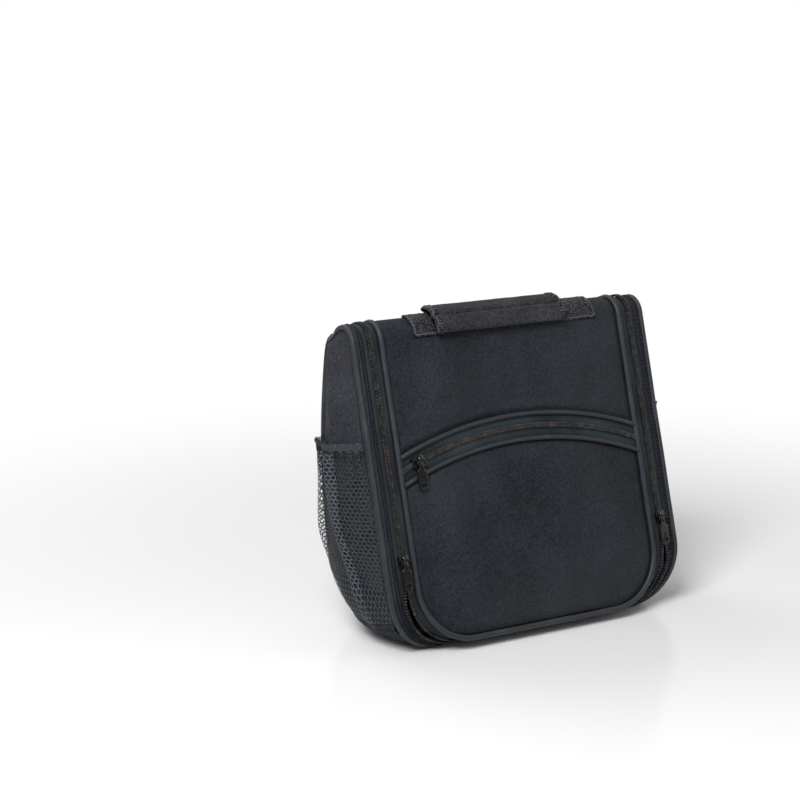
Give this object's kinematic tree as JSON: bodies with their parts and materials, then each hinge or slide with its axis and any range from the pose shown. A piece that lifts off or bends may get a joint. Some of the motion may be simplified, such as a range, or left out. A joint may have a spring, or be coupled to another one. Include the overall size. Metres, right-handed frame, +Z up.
{
  "type": "hanging wash bag",
  "caption": "Soft zipped toiletry bag with carrying handle, leaning front flap with an arched zip pocket, mesh side pockets and a hanging hook inside.",
  "frame": {"origin": "under the middle of the closed bag, on the surface that it stands on", "axes": "+X to the right, -Y to the front, +Z up"},
  "size_m": [0.2888, 0.1116, 0.2359],
  "materials": {
    "panel_cloth": "matt",
    "side_cloth": "matt",
    "zip_tape": "matt",
    "zip_coil": "satin",
    "binding": "satin",
    "lining": "glossy",
    "mesh": "matt",
    "clear_sheet": "glossy",
    "black_metal": "glossy",
    "hook_wire": "polished",
    "webbing": "matt"
  },
  "bodies": {
    "body": {"base_panel": "panel_cloth", "back_panel": "panel_cloth", "left_side_panel": "side_cloth", "right_side_panel": "side_cloth", "left_mesh_pocket": "mesh", "right_mesh_pocket": "mesh", "left_pocket_elastic": "binding", "right_pocket_elastic": "binding", "rear_piping": "binding", "side_piping": "binding", "rim_strip": "side_cloth", "body_zip_tape": "zip_tape", "body_zip_coil": "zip_coil", "back_lining": "lining", "back_clear_pocket": "clear_sheet", "inner_front_wall": "lining", "inner_wall_binding": "binding", "inner_wall_zip": "zip_coil", "inner_mesh_pocket": "mesh"},
    "top": {"top_panel": "panel_cloth", "top_lining": "lining", "top_clear_pocket": "clear_sheet", "left_top_piping": "binding", "right_top_piping": "binding", "left_top_zip_tape": "zip_tape", "right_top_zip_tape": "zip_tape", "left_top_zip_coil": "zip_coil", "right_top_zip_coil": "zip_coil", "left_handle_webbing": "webbing", "right_handle_webbing": "webbing"},
    "handle": {"handle_sleeve": "panel_cloth"},
    "flap": {"flap_upper_panel": "panel_cloth", "flap_pocket_panel": "panel_cloth", "pocket_zip_tape": "zip_tape", "pocket_zip_coil": "zip_coil", "pocket_upper_piping": "binding", "pocket_lower_piping": "binding", "pocket_lining": "lining", "flap_lining": "lining", "flap_clear_pocket": "clear_sheet", "flap_piping": "binding", "flap_zip_tape": "zip_tape", "flap_zip_coil": "zip_coil", "flap_edge_zip": "zip_coil", "flap_middle_zip": "zip_coil", "hook_patch": "binding", "hook_webbing": "webbing"},
    "hook": {"hook": "hook_wire"},
    "left_zip_slider": {"left_zip_slider": "black_metal"},
    "left_zip_pull": {"left_zip_pull": "black_metal"},
    "right_zip_slider": {"right_zip_slider": "black_metal"},
    "right_zip_pull": {"right_zip_pull": "black_metal"},
    "pocket_zip_slider": {"pocket_zip_slider": "black_metal"},
    "pocket_zip_pull": {"pocket_zip_pull": "black_metal"},
    "inner_wall_slider": {"inner_wall_slider": "black_metal"},
    "inner_wall_pull": {"inner_wall_pull": "black_metal"},
    "flap_edge_slider": {"flap_edge_slider": "black_metal"},
    "flap_edge_pull": {"flap_edge_pull": "black_metal"},
    "flap_middle_slider": {"flap_middle_slider": "black_metal"},
    "flap_middle_pull": {"flap_middle_pull": "black_metal"}
  },
  "joints": [
    {"name": "top_lift", "type": "hinge", "parent": "body", "child": "top", "pos_m": [0, 0.0562, 0.2195], "axis": [-1, 0, 0], "range_deg": [0, 180]},
    {"name": "flap_fold", "type": "hinge", "parent": "top", "child": "flap", "pos_m": [0, 0.00746, 0.21882], "axis": [-1, 0, 0], "range_deg": [0, 93]},
    {"name": "left_zip_slide", "type": "slide", "parent": "body", "child": "left_zip_slider", "axis": [0, 0.2924, 0.9563], "range_m": [-0.012, 0.135]},
    {"name": "left_pull_flip", "type": "hinge", "parent": "left_zip_slider", "child": "left_zip_pull", "pos_m": [-0.112, -0.04035, 0.06927], "axis": [-1, 0, 0], "range_deg": [0, 180]},
    {"name": "right_zip_slide", "type": "slide", "parent": "body", "child": "right_zip_slider", "axis": [0, 0.2924, 0.9563], "range_m": [-0.012, 0.135]},
    {"name": "right_pull_flip", "type": "hinge", "parent": "right_zip_slider", "child": "right_zip_pull", "pos_m": [0.112, -0.04035, 0.06927], "axis": [-1, 0, 0], "range_deg": [0, 180]},
    {"name": "pocket_zip_slide", "type": "hinge", "parent": "flap", "child": "pocket_zip_slider", "pos_m": [0, -0.09049, -0.11147], "axis": [0, 0.9563, -0.2924], "range_deg": [0, 38]},
    {"name": "pocket_pull_flip", "type": "hinge", "parent": "pocket_zip_slider", "child": "pocket_zip_pull", "pos_m": [-0.088, -0.02054, 0.13406], "axis": [-1, 0, 0], "range_deg": [0, 170]},
    {"name": "inner_wall_zip_slide", "type": "slide", "parent": "body", "child": "inner_wall_slider", "axis": [1, 0, 0], "range_m": [0, 0.156]},
    {"name": "inner_wall_pull_swing", "type": "hinge", "parent": "inner_wall_slider", "child": "inner_wall_pull", "pos_m": [-0.0782, -0.00285, 0.09754], "axis": [0, -0.9563, 0.2924], "range_deg": [-45, 45]},
    {"name": "flap_edge_zip_slide", "type": "slide", "parent": "flap", "child": "flap_edge_slider", "axis": [1, 0, 0], "range_m": [0, 0.054]},
    {"name": "flap_edge_pull_swing", "type": "hinge", "parent": "flap_edge_slider", "child": "flap_edge_pull", "pos_m": [-0.0782, -0.03666, 0.04304], "axis": [0, -0.9563, 0.2924], "range_deg": [-45, 45]},
    {"name": "handle_lift", "type": "slide", "parent": "top", "child": "handle", "axis": [0, -0.4848, 0.8746], "range_m": [0, 0.012]},
    {"name": "flap_middle_zip_slide", "type": "slide", "parent": "flap", "child": "flap_middle_slider", "axis": [1, 0, 0], "range_m": [0, 0.156]},
    {"name": "flap_middle_pull_swing", "type": "hinge", "parent": "flap_middle_slider", "child": "flap_middle_pull", "pos_m": [-0.0782, 0.00456, 0.17788], "axis": [0, -0.9563, 0.2924], "range_deg": [-45, 45]},
    {"name": "hook_swing", "type": "hinge", "parent": "flap", "child": "hook", "pos_m": [0, -0.02677, 0.06616], "axis": [-1, 0, 0], "range_deg": [0, 13]}
  ]
}
